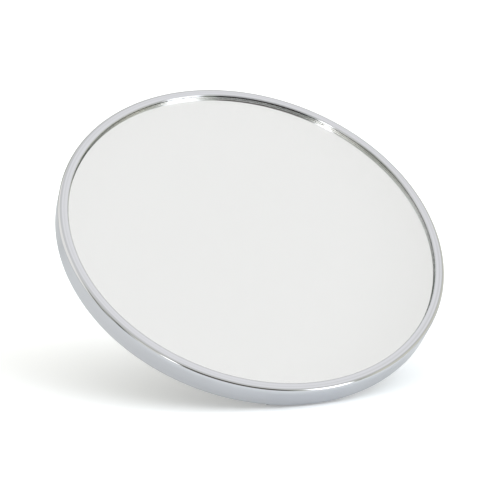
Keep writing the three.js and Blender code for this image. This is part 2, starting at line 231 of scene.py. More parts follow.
def block(width, depth, height, place=Matrix.Identity(4)):
    bm = bmesh.new()
    bmesh.ops.create_cube(bm, size=1, matrix=place @ Matrix.Diagonal((width, depth, height, 1)))
    return bm


def tube(path, radius, chamfer, sides=32):
    """A round bar along a path in the xz plane, with chamfered ends."""
    bm = bmesh.new()
    turns = [2 * math.pi * i / sides for i in range(sides)]
    first = (path[1] - path[0]).normalized() * chamfer
    last = (path[-1] - path[-2]).normalized() * chamfer
    middle = [path[0] + first, *path[1:-1], path[-1] - last]
    stops = [(path[0], radius - chamfer), *((p, radius) for p in middle), (path[-1], radius - chamfer)]
    rings = []
    for i, (point, size) in enumerate(stops):
        before, after = stops[max(i - 1, 0)][0], stops[min(i + 1, len(stops) - 1)][0]
        ahead = (after - before).normalized()
        side = Vector((ahead.z, 0, -ahead.x))
        across = Vector((0, 1, 0))
        rings.append(
            [bm.verts.new(point + size * (math.cos(a) * side + math.sin(a) * across)) for a in turns]
        )
    for low, high in zip(rings, rings[1:]):
        for i in range(sides):
            j = (i + 1) % sides
            bm.faces.new((low[i], low[j], high[j], high[i]))
    bm.faces.new(rings[0])
    bm.faces.new(rings[-1])
    bmesh.ops.recalc_face_normals(bm, faces=bm.faces)
    return bm


def moved(bm, place):
    bmesh.ops.transform(bm, matrix=place, verts=bm.verts)
    return bm


def together(*bodies):
    """Several bodies in one mesh, not joined where they meet."""
    whole = bmesh.new()
    for bm in bodies:
        mesh = bpy.data.meshes.new("part")
        bm.to_mesh(mesh)
        bm.free()
        whole.from_mesh(mesh)
        bpy.data.meshes.remove(mesh)
    return whole


def loose(bm):
    mesh = bpy.data.meshes.new("loose")
    bm.to_mesh(mesh)
    bm.free()
    shape = bpy.data.objects.new("loose", mesh)
    bpy.context.scene.collection.objects.link(shape)
    return shape


def combined(body, operation, *tools):
    """The body joined with the tools, or cut by them: operation is UNION or DIFFERENCE."""
    shape = loose(body)
    helpers = [loose(tool) for tool in tools]
    for helper in helpers:
        step = shape.modifiers.new("step", "BOOLEAN")
        step.object = helper
        step.operation = operation
        step.solver = "EXACT"
    graph = bpy.context.evaluated_depsgraph_get()
    result = bmesh.new()
    result.from_object(shape, graph)
    for item in (shape, *helpers):
        mesh = item.data
        bpy.data.objects.remove(item)
        bpy.data.meshes.remove(mesh)
    return result


def piece(name, bm, looks, place, body, nodes=(), bevel=0.0, sharp=35):
    """A finished piece in its place: shaded, edges rounded by bevel, riding on its CAD body."""
    mesh = bpy.data.meshes.new(name)
    bm.to_mesh(mesh)
    bm.free()
    mesh.transform(Matrix.Scale(MM, 4))
    for look in looks:
        mesh.materials.append(look)
    mesh.shade_smooth()
    mesh.set_sharp_from_angle(angle=math.radians(sharp))
    made = bpy.data.objects.new(name, mesh)
    bpy.context.scene.collection.objects.link(made)
    made.matrix_world = place
    if bevel:
        rounding = made.modifiers.new("rounded edges", "BEVEL")
        rounding.width = bevel * MM
        rounding.segments = 3
        rounding.limit_method = "ANGLE"
        rounding.angle_limit = math.radians(sharp)
        mesh.shade_smooth()
        mesh.set_sharp_from_angle(angle=math.pi)
    even = made.modifiers.new("even shading", "WEIGHTED_NORMAL")
    even.keep_sharp = True
    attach(made, body)
    if nodes:
        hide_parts(*nodes)
    return made


# ---------------------------------------------------------------- materials


class Look:
    """A node material: its Principled shader, and short calls for the nodes that feed it."""

    def __init__(self, name, **values):
        self.material = bpy.data.materials.new(name)
        self.material.use_nodes = True
        self.nodes = self.material.node_tree.nodes
        self.links = self.material.node_tree.links
        self.shader = self.nodes["Principled BSDF"]
        self.feed(self.shader, {key.replace("_", " "): value for key, value in values.items()})
        self.place = self.add("ShaderNodeTexCoord").outputs["Object"]

    def feed(self, node, values):
        for key, value in values.items():
            if isinstance(value, bpy.types.NodeSocket):
                self.links.new(value, node.inputs[key])
            else:
                node.inputs[key].default_value = value

    def add(self, kind, values=None, **settings):
        node = self.nodes.new(kind)
        for key, value in settings.items():
            setattr(node, key, value)
        self.feed(node, values or {})
        return node

    def noise(self, scale, detail=3.0, roughness=0.5, place=None):
        values = {"Vector": place or self.place, "Scale": scale, "Detail": detail, "Roughness": roughness}
        return self.add("ShaderNodeTexNoise", values).outputs["Fac"]

    def cells(self, scale):
        values = {"Vector": self.place, "Scale": scale}
        return self.add("ShaderNodeTexVoronoi", values).outputs["Distance"]

    def stretched(self, x, y, z):
        values = {"Vector": self.place, "Scale": (x, y, z)}
        return self.add("ShaderNodeMapping", values).outputs["Vector"]

    def remap(self, value, low, high, to_low, to_high):
        values = {"Value": value, "From Min": low, "From Max": high, "To Min": to_low, "To Max": to_high}
        return self.add("ShaderNodeMapRange", values).outputs["Result"]

    def blend(self, factor, first, second):
        """Between two colours."""
        node = self.add("ShaderNodeMix", data_type="RGBA")
        node.inputs[6].default_value = (*first, 1)
        node.inputs[7].default_value = (*second, 1)
        self.links.new(factor, node.inputs[0])
        return node.outputs[2]

    def math(self, operation, first, second=0.0):
        node = self.add("ShaderNodeMath", operation=operation)
        self.feed_numbered(node, (first, second))
        return node.outputs[0]

    def feed_numbered(self, node, values):
        for slot, value in enumerate(values):
            if isinstance(value, bpy.types.NodeSocket):
                self.links.new(value, node.inputs[slot])
            else:
                node.inputs[slot].default_value = value

    def radius(self):
        """Distance from the z axis of the piece."""
        split = self.add("ShaderNodeSeparateXYZ", {"Vector": self.place})
        squares = [self.math("MULTIPLY", split.outputs[k], split.outputs[k]) for k in ("X", "Y")]
        return self.math("SQRT", self.math("ADD", *squares))

    def bump(self, height, distance, strength=1.0, under=None):
        """A bump of this many millimetres; under is another bump's normal that it lies on."""
        values = {"Height": height, "Distance": distance * MM, "Strength": strength}
        if under:
            values["Normal"] = under
        return self.add("ShaderNodeBump", values).outputs["Normal"]

    def done(self, **values):
        self.feed(self.shader, {key.replace("_", " "): value for key, value in values.items()})
        return self.material


def chrome(name, colour, polish_rings):
    """Bright plating over polished steel: haze, a trace of orange peel, and polishing rings if asked."""
    look = Look(name, Metallic=1.0)
    tint = look.noise(22.0, 2.0)
    shade = look.blend(tint, colour, tuple(1.015 * c for c in colour))
    haze = look.remap(look.noise(300.0, 5.0), 0.3, 0.7, 0.012, 0.028)
    normal = look.bump(look.noise(90.0, 1.0), 0.0015)
    if polish_rings:
        lines = look.add("ShaderNodeTexNoise", {"W": look.radius(), "Scale": 2600.0}, noise_dimensions="1D")
        normal = look.bump(lines.outputs["Fac"], 0.001, under=normal)
    return look.done(Base_Color=shade, Roughness=haze, Normal=normal)


def clear_glass():
    """Float glass with a breath of haze in the gloss of its front."""
    look = Look("float_glass", Transmission_Weight=1.0, IOR=1.52)
    look.shader.inputs["Base Color"].default_value = (0.994, 1.0, 0.996, 1)
    haze = look.remap(look.noise(14.0, 4.0), 0.45, 0.75, 0.0, 0.004)
    return look.done(Roughness=haze)


def ground_glass():
    """The ground edge of the sheet, greenish and half matt; its green is the glass's own, its darkness is
    painted shade of the narrow gap at the bore.
    """
    look = Look("ground_glass_edge", Transmission_Weight=1.0, IOR=1.52)
    grind = look.noise(2200.0, 3.0)
    # greenish as glass edges are, made darker as painted shade of the gap behind the edge
    shade = look.blend(grind, (0.42, 0.54, 0.48), (0.56, 0.67, 0.61))
    dull = look.remap(grind, 0.3, 0.7, 0.12, 0.3)
    return look.done(Base_Color=shade, Roughness=dull)


def silver():
    """Deposited silver seen through the glass."""
    look = Look("deposited_silver", Metallic=1.0, Roughness=0.0)
    shade = look.blend(look.noise(9.0, 2.0), (0.864, 0.860, 0.857), (0.871, 0.867, 0.864))
    return look.done(Base_Color=shade)


def backing_paint():
    look = Look("backing_paint", Roughness=0.6)
    shade = look.blend(look.noise(120.0, 4.0), (0.20, 0.21, 0.215), (0.24, 0.25, 0.255))
    return look.done(Base_Color=shade, Normal=look.bump(look.noise(900.0), 0.01))


def foam():
    """Grey closed-cell foam."""
    look = Look("cell_foam", Roughness=0.95)
    cells = look.cells(1400.0)
    shade = look.blend(cells, (0.16, 0.16, 0.155), (0.34, 0.34, 0.33))
    return look.done(Base_Color=shade, Normal=look.bump(cells, 0.12))


def moulded_black():
    """Black moulded plastic with a fine spark-eroded texture, and a little dust in its roughness."""
    look = Look("moulded_black")
    grain = look.noise(2600.0, 2.0)
    patches = look.noise(35.0, 5.0)
    shade = look.blend(patches, (0.0135, 0.0138, 0.0145), (0.021, 0.0212, 0.022))
    dull = look.remap(patches, 0.3, 0.75, 0.42, 0.56)
    return look.done(Base_Color=shade, Roughness=dull, Normal=look.bump(grain, 0.028))


def spring_steel():
    """Blued spring steel, oiled, with the long grain of the strip it was stamped from."""
    look = Look("spring_steel", Metallic=1.0)
    grain = look.noise(60.0, 6.0, place=look.stretched(60, 4, 4))
    shade = look.blend(grain, (0.085, 0.09, 0.10), (0.17, 0.175, 0.19))
    dull = look.remap(grain, 0.3, 0.7, 0.26, 0.42)
    return look.done(Base_Color=shade, Roughness=dull, Normal=look.bump(grain, 0.01))


def zinc_steel():
    """Zinc-plated sheet: pale, faintly blue and yellow by turns, with rolling grain."""
    look = Look("zinc_plate", Metallic=1.0)
    cloud = look.noise(55.0, 4.0)
    grain = look.noise(70.0, 5.0, place=look.stretched(3, 60, 60))
    shade = look.blend(cloud, (0.50, 0.52, 0.56), (0.63, 0.62, 0.58))
    dull = look.remap(grain, 0.3, 0.7, 0.24, 0.4)
    return look.done(Base_Color=shade, Roughness=dull, Normal=look.bump(grain, 0.006))


def screw_steel():
    look = Look("screw_steel", Metallic=1.0)
    cloud = look.noise(400.0, 4.0)
    shade = look.blend(cloud, (0.42, 0.43, 0.45), (0.56, 0.56, 0.57))
    dull = look.remap(cloud, 0.3, 0.7, 0.2, 0.34)
    return look.done(Base_Color=shade, Roughness=dull, Normal=look.bump(look.noise(2500.0), 0.004))


def nylon():
    """Natural nylon, a little translucent."""
    look = Look("natural_nylon", Roughness=0.42, Subsurface_Weight=0.35)
    look.shader.inputs["Subsurface Radius"].default_value = (0.002, 0.0018, 0.0014)
    shade = look.blend(look.noise(500.0, 3.0), (0.74, 0.72, 0.66), (0.80, 0.785, 0.73))
    return look.done(Base_Color=shade, Normal=look.bump(look.noise(1800.0), 0.008))


def rubber():
    """Soft black rubber with a bloom of dust."""
    look = Look("soft_rubber")
    bloom = look.noise(130.0, 6.0)
    shade = look.blend(bloom, (0.017, 0.017, 0.018), (0.036, 0.036, 0.036))
    dull = look.remap(bloom, 0.3, 0.7, 0.72, 0.9)
    return look.done(Base_Color=shade, Roughness=dull, Normal=look.bump(look.noise(3200.0, 2.0), 0.03))


RIM_CHROME = chrome("rim_chrome", (0.698, 0.706, 0.735), polish_rings=True)
WIRE_CHROME = chrome("wire_chrome", (0.62, 0.63, 0.655), polish_rings=False)
CLEAR_GLASS = clear_glass()
GROUND_GLASS = ground_glass()
SILVER = silver()
BACKING_PAINT = backing_paint()
FOAM = foam()
MOULDED_BLACK = moulded_black()
SPRING_STEEL = spring_steel()
ZINC_STEEL = zinc_steel()
SCREW_STEEL = screw_steel()
NYLON = nylon()
RUBBER = rubber()

# ---------------------------------------------------------------- the mirror


def rim():
    """Front lip with a turned line and rounded edges, side wall, and the bore with its clip groove."""
    edge = RIM["bore_edge"]
    front, back = RIM["front_fillet"], RIM["back_fillet"]
    pocket = RIM["pocket"]
    groove = CLIP["outer"] + CLEAR
    profile = [
        (pocket + 2 * CLEAR, -RIM["depth"]),
        *arc(RIM["back_radius"] - back, back - RIM["depth"], back, -90, 0, 12),
        *arc(RIM["radius"] - front, -front, front, 0, 90, 18),
        *LIP_LINES,
        *arc(RIM["bore"] + edge, -edge - LIP_FALL, edge, 90, 180, 8),
        (RIM["bore"], PAD_BACK),
        (pocket, PAD_BACK),
        (pocket, FLANGE_BACK),
        (groove, FLANGE_BACK),
        (groove, GROOVE_BACK),
        (pocket, GROOVE_BACK),
        (pocket, -RIM["depth"] + 2 * CLEAR),
    ]
    piece("polished_rim", lathe(profile), [RIM_CHROME], DISC, "mirror", ["rim"])


def glass_and_coat():
    """The glass sheet with a ground edge, and the silver and its paint on the back.

    The sheet is drawn a little wider and its seams finer than in the CAD, so that the gap to the bore
    shows as the hairline that it is.
    """
    radius, seam = GLASS["radius"] + GLASS["fill"], GLASS["seam"] / 2
    sheet = [
        (0, GLASS_BACK),
        (radius - seam, GLASS_BACK),
        (radius, GLASS_BACK + seam),
        (radius, GLASS_FRONT - seam),
        (radius - seam, GLASS_FRONT),
        (0, GLASS_FRONT),
    ]
    body = lathe(sheet)
    body.normal_update()
    for face in body.faces:
        face.material_index = 1 if abs(face.normal.z) < 0.9 else 0
    looks = [CLEAR_GLASS, GROUND_GLASS]
    piece("glass_sheet", body, looks, DISC, "mirror", ["mirror_glass"], sharp=20)
    front = GLASS_BACK - COAT["gap"]
    back = front - COAT["thickness"]
    edge = radius - seam
    coat = [(0, back), (edge, back), (edge, front), (0, front)]
    layer = lathe(coat)
    silver_side = front - COAT["thickness"] / 4
    for face in layer.faces:
        face.material_index = 0 if face.calc_center_median().z > silver_side else 1
    piece("silver_coat", layer, [SILVER, BACKING_PAINT], DISC, "mirror", sharp=20)


def foam_pad():
    radius, soft = PAD["radius"], PAD["thickness"] / 2
    profile = [
        (0, PAD_BACK),
        *arc(radius - soft, PAD_BACK + soft, soft, -90, 90, 10),
        (0, PAD_FRONT),
    ]
    piece("foam_disc", lathe(profile, 256), [FOAM], DISC, "mirror", ["foam_pad"])


SCREW_PLACES = [
    (side * BRACKET["screw_x"], HINGE_Y + up * BRACKET["screw_y"]) for up in (1, -1) for _, side in SIDES
]
PLUG_RADIUS = (RIM_FOOT["inner"] + RIM_FOOT["outer"]) / 2
PLUG_PLACES = [
    (PLUG_RADIUS * math.sin(math.radians(turn)), -PLUG_RADIUS * math.cos(math.radians(turn)))
    for turn in RIM_FOOT["plugs"]
]
BUTTON_PLACES = [(side * WIRE["leg_x"], BUTTON["y"]) for _, side in SIDES]


def back_plate():
    """Moulded shell with rounded steps and two shallow rings, ribbed and bossed on its inner side."""
    shoulder, crown, soft = PLATE["shoulder"], PLATE["crown"], PLATE["soft"]
    ring_floor = PLATE_BACK + PLATE["ring_depth"]
    rings = []
    for radius in PLATE["rings"]:
        rings += [
            (radius - PLATE["ring_top"], PLATE_BACK),
            (radius - PLATE["ring_floor"], ring_floor),
            (radius + PLATE["ring_floor"], ring_floor),
            (radius + PLATE["ring_top"], PLATE_BACK),
        ]
    shell = [
        (0, PLATE_BACK),
        *rings,
        *arc(crown, PLATE_BACK + soft, soft, -90, -32, 5),
        *reversed(arc(shoulder, FLANGE_BACK - soft, soft, 90, 148, 5)),
        (PLATE["radius"] - CLEAR, FLANGE_BACK),
        (PLATE["radius"], FLANGE_BACK + CLEAR),
        (PLATE["radius"], PLATE_FRONT - CLEAR),
        (PLATE["radius"] - CLEAR, PLATE_FRONT),
        (shoulder - 1.4, PLATE_FRONT),
        (crown - 1, CAVITY),
        (0, CAVITY),
    ]
    root = CAVITY - 0.5  # ribs, hub and bosses start inside the shell
    length = crown - PLATE["hub"]
    ribs = []
    for i in range(PLATE["ribs"]):
        turn = Matrix.Rotation((i + 0.5) * 2 * math.pi / PLATE["ribs"], 4, "Z")
        middle = Matrix.Translation((PLATE["hub"] + length / 2, 0, (PLATE_FRONT + root) / 2))
        ribs.append(block(length, PLATE["rib_width"], PLATE_FRONT - root, turn @ middle))
    hub = slab([circle(0, 0, PLATE["hub"] + 1)], root, PLATE_FRONT)
    bosses = [slab([circle(x, y, PLATE["boss_radius"])], root, PLATE_FRONT) for x, y in SCREW_PLACES]
    body = combined(lathe(shell, 256), "UNION", *ribs, hub, *bosses)
    holes = [(x, y, SCREW["hole"]) for x, y in SCREW_PLACES]
    holes += [(x, y, RIM_FOOT["plug"] + CLEAR) for x, y in PLUG_PLACES]
    holes += [(x, y, BUTTON["hole"]) for x, y in BUTTON_PLACES]
    drills = [slab([circle(x, y, radius, 32)], PLATE_BACK - 1, PLATE_FRONT + 1) for x, y, radius in holes]
    body = combined(body, "DIFFERENCE", together(*drills))
    piece("moulded_back", body, [MOULDED_BLACK], DISC, "mirror", ["back_plate"], sharp=40)


def retaining_ring():
    """Stamped spring clip with a lug and a plier eye at each side of its mouth."""
    front = FLANGE_BACK - CLEAR
    back = front - CLIP["thickness"]
    lug_radius = CLIP["lug"] / 2 + CLIP["lug_wall"]
    lug_x = (CLIP["mouth"] + CLIP["lug"]) / 2
    lug_y = CLIP["inner"] - CLIP["lug"] / 2 + 1
    start = 90 + math.degrees(CLIP["mouth"] / 2 / CLIP["outer"])
    end = 450 - math.degrees(CLIP["mouth"] / 2 / CLIP["outer"])
    inner_start = 90 + math.degrees((lug_x + lug_radius) / CLIP["inner"])
    inner_end = 540 - inner_start
    outline = [
        *arc(0, 0, CLIP["outer"], start, end, 360),
        *arc(lug_x, lug_y, lug_radius, 170, 380, 20),
        *arc(0, 0, CLIP["inner"], inner_end, inner_start, 360),
        *arc(-lug_x, lug_y, lug_radius, -200, 10, 20),
    ]
    eyes = [circle(side * lug_x, lug_y, CLIP["lug_hole"], 24) for _, side in SIDES]
    ring = slab([outline, *eyes], back, front)
    piece("spring_clip", ring, [SPRING_STEEL], DISC, "mirror", ["retaining_ring"], bevel=0.12)


def rim_foot():
    """Rubber sector plugged into the flange and cut level with the counter."""
    top = FLANGE_BACK - CLEAR
    long = 30.0  # before the cut
    reach = RIM_FOOT["reach"]
    sector = [
        *arc(0, 0, RIM_FOOT["outer"], -90 - reach, -90 + reach, 24),
        *arc(0, 0, RIM_FOOT["inner"], -90 + reach, -90 - reach, 24),
    ]
    body = slab([sector], top - long, top)
    counter = DISC.inverted()
    cut = bmesh.ops.bisect_plane(
        body,
        geom=[*body.verts, *body.edges, *body.faces],
        plane_co=counter.translation / MM,
        plane_no=-counter.col[2].to_3d(),
        clear_outer=True,
    )
    edges = [item for item in cut["geom_cut"] if isinstance(item, bmesh.types.BMEdge)]
    bmesh.ops.triangle_fill(body, edges=edges, use_beauty=True)
    bmesh.ops.recalc_face_normals(body, faces=body.faces)
    end = PLATE_FRONT - CLEAR
    plugs = [slab([circle(x, y, RIM_FOOT["plug"], 32)], top - 1, end) for x, y in PLUG_PLACES]
    body = combined(body, "UNION", *plugs)
    piece("front_foot", body, [RUBBER], DISC, "mirror", ["rim_foot"], bevel=0.35)


def fold_rests():
    """Rubber buttons snapped through the back plate, for the folded stand to rest on."""
    seat = PLATE_BACK - CLEAR
    tip = HINGE_Z + WIRE["radius"] + CLEAR
    head, neck, barb, dome = BUTTON["head"], BUTTON["neck"], BUTTON["barb"], BUTTON["dome"]
    break_edge = 0.2
    profile = [
        (0, tip),
        *arc(head - dome, tip + dome, dome, -90, 0, 10),
        (head, seat - break_edge),
        (head - break_edge, seat),
        (neck, seat),
        (neck, CAVITY + CLEAR),
        (barb, CAVITY + CLEAR),
        (barb - BUTTON["taper"], PLATE_FRONT - 2 * CLEAR),
        (0, PLATE_FRONT - 2 * CLEAR),
    ]
    for (word, _), (x, y) in zip(SIDES, BUTTON_PLACES):
        spot = DISC @ Matrix.Translation((x * MM, y * MM, 0))
        body = lathe(profile, SMALL_STEPS)
        piece(f"rest_button_{word}", body, [RUBBER], spot, "mirror", [f"fold_rest_{word}"])


# ---------------------------------------------------------------- hinge bracket and screws


def stop_middle():
    """Middle of the lug that stops a leg, in the bracket's frame: y up the glass, z out of it."""
    away = WIRE["radius"] + CLEAR + SHEET / 2
    y = -STOP["along"] * math.cos(OPEN_ANGLE) + away * math.sin(OPEN_ANGLE)
    z = -STOP["along"] * math.sin(OPEN_ANGLE) - away * math.cos(OPEN_ANGLE)
    return y, z


def hinge_bracket():
    """Sheet steel cut flat with its holes and then folded, so that the bends are round."""
    middle_z = STANDOFF - CLEAR - SHEET / 2  # middle of the sheet in the base
    neutral = BRACKET["bend"] + SHEET / 2
    cheek_x = BRACKET["half_width"] - SHEET / 2
    fold_at = cheek_x - neutral
    fold_end = fold_at + neutral * math.pi / 2
    corner = BRACKET["corner"]
    stop_y, stop_z = stop_middle()

    def unfolded(z):
        """How far out on the flat sheet a point of the cheek lies."""
        return fold_end + middle_z - neutral - z

    narrow = BRACKET["half_height"] - corner
    corner_x = BRACKET["half_width"] - 2 * corner
    lobe = STOP["tip"]  # radius of the ear that carries the stop lug
    right = [
        *arc(corner_x, -narrow, corner, -90, 0, 8),
        (unfolded(BRACKET["foot"]), -narrow),
        *arc(unfolded(stop_z), stop_y, lobe, -62, 36, 14),
        (unfolded(BRACKET["foot"]), narrow),
        *arc(corner_x, narrow, corner, 0, 90, 8),
    ]
    left = [(-x, y) for x, y in reversed(right)]
    holes = [circle(side * unfolded(0), 0, BORE) for _, side in SIDES]
    for _, side in SIDES:
        for up in (-1, 1):
            holes.append(circle(side * BRACKET["screw_x"], up * BRACKET["screw_y"], SCREW["hole"], 32))
    flat = slab([right + left, *holes], -SHEET / 2, SHEET / 2)
    folds = 10
    for _, side in SIDES:
        for i in range(folds + 1):
            at = side * (fold_at + (fold_end - fold_at) * i / folds)
            everything = [*flat.verts, *flat.edges, *flat.faces]
            bmesh.ops.bisect_plane(flat, geom=everything, plane_co=(at, 0, 0), plane_no=(1, 0, 0))
    for vert in flat.verts:
        out, y, lift = vert.co
        side = 1 if out > 0 else -1
        run = abs(out) - fold_at
        if run <= 0:
            vert.co = (out, y, middle_z + lift)
            continue
        turn = min(run / neutral, math.pi / 2)
        past = max(abs(out) - fold_end, 0)
        x = fold_at + (neutral + lift) * math.sin(turn)
        z = middle_z - neutral + (neutral + lift) * math.cos(turn) - past
        vert.co = (side * x, y, z)
    lugs = []
    for _, side in SIDES:
        x = side * (cheek_x - STOP["reach"] / 2)
        spot = Matrix.Translation((x, stop_y, stop_z)) @ Matrix.Rotation(OPEN_ANGLE, 4, "X")
        lugs.append(block(STOP["reach"], STOP["width"], SHEET, spot))
    body = combined(flat, "UNION", *lugs)
    piece(
        "folded_bracket", body, [ZINC_STEEL], BRACKET_PLACE, "mirror", ["hinge_bracket"], bevel=0.15
    )


def cross_cutter(top):
    """A tapered cross for the recess of a screw head that ends at z = top."""
    length = SCREW["head"] * 2 - 2.6
    narrow, short = 0.55, 0.8  # taper of an arm towards the bottom of the recess
    arms = []
    for size in ((length, SCREW["slot"]), (SCREW["slot"], length)):
        arm = block(*size, 2 * SCREW["slot_depth"])
        for vert in arm.verts:
            if vert.co.z > 0:
                vert.co.x *= narrow
                vert.co.y *= short
        arms.append(moved(arm, Matrix.Translation((0, 0, top))))
    return arms


def screws():
    """Pan-head screws with a cross recess, heads to the back."""
    seat = PLATE_BACK - 2 * CLEAR - SHEET
    top = seat - SCREW["head_height"]
    end = PLATE_FRONT - CLEAR
    head, dome, shank = SCREW["head"], SCREW["dome"], SCREW["shank"]
    break_edge = 0.1
    plain_neck, plain_end = 1.5, 1.4  # without thread
    point, point_length = 0.7, 0.8
    thread = []
    z = seat + plain_neck
    while z < end - plain_end:
        thread += [(shank, z), (shank - SCREW["thread_depth"], z + SCREW["pitch"] / 2)]
        z += SCREW["pitch"]
    profile = [
        (0, top),
        *arc(head - dome, top + dome, dome, -82, 0, 10),
        (head, seat - break_edge),
        (head - break_edge, seat),
        (shank, seat),
        *thread,
        (shank, end - point_length),
        (shank - point, end),
        (0, end),
    ]
    for i, (x, y) in enumerate(SCREW_PLACES):
        body = combined(lathe(profile, 48), "DIFFERENCE", *cross_cutter(top))
        turn = Matrix.Rotation(math.radians(17 + 53 * i), 4, "Z")  # no two stop at the same angle
        spot = DISC @ Matrix.Translation((x * MM, y * MM, 0)) @ turn
        node = f"bracket_screw_{i + 1}"
        piece(f"pan_screw_{i + 1}", body, [SCREW_STEEL], spot, "mirror", [node])


# ---------------------------------------------------------------- the stand


def bent_path(corners, steps=14):
    """Points along straight runs with round right-angled bends; corners are (x, z, bend radius)."""
    spots = [Vector((x, 0, z)) for x, z, _ in corners]
    path = [spots[0]]
    for i in range(1, len(corners) - 1):
        bend = corners[i][2]
        back = (spots[i - 1] - spots[i]).normalized() * bend
        on = (spots[i + 1] - spots[i]).normalized() * bend
        centre = spots[i] + back + on
        for k in range(steps + 1):
            turn = math.pi / 2 * k / steps
            path.append(centre - on * math.cos(turn) - back * math.sin(turn))
    path.append(spots[-1])
    return path


def stand_wire():
    pin, leg = WIRE["pin_end"], WIRE["leg_x"]
    top, foot = WIRE["top_bend"], WIRE["foot_bend"]
    corners = [
        (-pin, 0, 0),
        (-leg, 0, top),
        (-leg, -LEG_LENGTH, foot),
        (leg, -LEG_LENGTH, foot),
        (leg, 0, top),
        (pin, 0, 0),
    ]
    body = tube(bent_path(corners), WIRE["radius"], WIRE["chamfer"])
    piece("bent_wire", body, [WIRE_CHROME], STAND, "stand", ["stand_wire"])


def pivot_washer(word, side):
    cheek = BRACKET["half_width"] - SHEET
    inner = cheek - CLEAR - WASHER["thickness"]
    outer = cheek - CLEAR
    soft = 0.15
    profile = [
        (BORE, inner),
        *arc(WASHER["outer"] - soft, inner + soft, soft, -90, 0, 4),
        *arc(WASHER["outer"] - soft, outer - soft, soft, 0, 90, 4),
        (BORE, outer),
    ]
    body = moved(lathe(profile, SMALL_STEPS), Matrix.Rotation(side * math.pi / 2, 4, "Y"))
    node = f"pivot_washer_{word}"
    piece(f"nylon_washer_{word}", body, [NYLON], STAND, "stand", [node])


def pivot_cap(word, side):
    """Push-on cap: a shallow domed cup with a wider collar at its mouth."""
    low = BRACKET["half_width"] + CLEAR
    high = low + CAP["length"]
    outer, collar, dome = CAP["outer"], CAP["collar"], CAP["dome"]
    narrow = outer - CAP["step"]
    lead_in, break_edge, slope = 0.4, 0.15, 0.3
    profile = [
        (0, high - CAP["end"]),
        (BORE, high - CAP["end"]),
        (BORE, low + lead_in),
        (BORE + lead_in, low),
        (outer - break_edge, low),
        (outer, low + break_edge),
        (outer, low + collar),
        (narrow, low + collar + slope),
        *arc(narrow - dome, high - dome, dome, 0, 80, 10),
        (0, high),
    ]
    body = moved(lathe(profile, SMALL_STEPS), Matrix.Rotation(side * math.pi / 2, 4, "Y"))
    node = f"pivot_cap_{word}"
    piece(f"push_cap_{word}", body, [ZINC_STEEL], STAND, "stand", [node])


def stand_foot(word):
    """Rubber sleeve on the cross bar, with a level face on the counter."""
    low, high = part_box(f"stand_foot_{word}")
    outer = SLEEVE["outer"]
    half = math.degrees(math.acos(SLEEVE["flat"] / outer))
    outline = arc(0, 0, outer, -90 + half, 270 - half, 48)
    body = slab([outline, circle(0, 0, BORE)], -SLEEVE["length"] / 2, SLEEVE["length"] / 2)
    lay = Matrix(((0, 0, 1), (1, 0, 0), (0, 1, 0))).to_4x4()  # drawn in (y, z), long in x
    middle = Vector(((low.x + high.x) / 2, (low.y + high.y) / 2, SLEEVE["flat"] * MM))
    spot = Matrix.Translation(middle)
    node = f"stand_foot_{word}"
    piece(
        f"rubber_sleeve_{word}", moved(body, lay), [RUBBER], spot, "stand", [node], bevel=0.4
    )


rim()
glass_and_coat()
foam_pad()
back_plate()
retaining_ring()
rim_foot()
fold_rests()
hinge_bracket()
screws()
stand_wire()
for side_word, side_sign in SIDES:
    pivot_washer(side_word, side_sign)
    pivot_cap(side_word, side_sign)
    stand_foot(side_word)

# ---------------------------------------------------------------- studio: floor, light and camera

FLOOR_SIZE = 60.0  # metres
DIM_FROM = (0.12, 0.45)  # metres from the middle of the floor
DIM_BY = (0.60, 0.97)  # how far towards its darker colours chrome sees the floor there: painted shade

# What polished pieces see round the studio: azimuth and elevation of the middle in degrees, width,
# height, softness of the edge, and the light's colour. Azimuth 0 is in front of the mirror, 90 is +X.
# The flags give the chrome its dark lines: they are kept out of the picture in the mirror glass.
WALL_LIGHTS = [
    ("pale wall on the left", -84, 6, 98, 26, 8, (0.95, 0.94, 0.88)),
    ("bright wall further left", -118, 20, 66, 66, 12, (1.04, 1.03, 0.98)),
    ("pale wall on the right", 88, 10, 84, 44, 10, (0.80, 0.79, 0.68)),
]
FLAGS = [
    ("grey behind the camera", -7, 13, 46, 32, 8, (0.29, 0.315, 0.30)),
    ("low dark strip behind it", -6, 1, 42, 9, 3, (0.035, 0.022, 0.016)),
    ("high dark strip behind it", -6, 21, 42, 20, 4, (0.075, 0.055, 0.045)),
    ("dark strip on the left", -66, 10, 12, 24, 6, (0.035, 0.03, 0.026)),
    ("second strip on the left", -82, 12, 9, 28, 5, (0.035, 0.03, 0.026)),
]
LAMPS = [
    ("tall window", 30.3, 14, 15, 34, 6, (3.2, 3.25, 3.3)),
    ("small lamp", -34.5, 13, 8, 9, 3, (4.0, 4.0, 4.0)),
]
CEILING = (0.78, 0.78, 0.77)
WALLS = (0.54, 0.55, 0.49)
CEILING_FADE = (30, 58)  # the walls turn into the ceiling between these elevations

# The large soft light that the glass mirrors, round like a diffuser; angles in degrees.
DIFFUSER = {"azimuth": 84, "elevation": 69.5, "full": 4, "none": 14, "colour": (0.985, 0.982, 0.982)}

# Soft light on the floor and the matt pieces, which polished pieces don't see: azimuth, elevation,
# spread in degrees, strength in W/m2 and colour.
SOFT_LIGHTS = [
    ("window_light", 46, 28, 70, 1.85, (0.88, 1.0, 1.14)),
    ("room_light", -60, 62, 120, 0.6, (1.0, 1.0, 0.97)),
]


def direction(azimuth, elevation):
    """Unit vector towards a place in the studio; azimuth 0 is in front of the mirror, 90 is +X."""
    turn, rise = math.radians(azimuth), math.radians(elevation)
    return Vector((math.sin(turn) * math.cos(rise), -math.cos(turn) * math.cos(rise), math.sin(rise)))


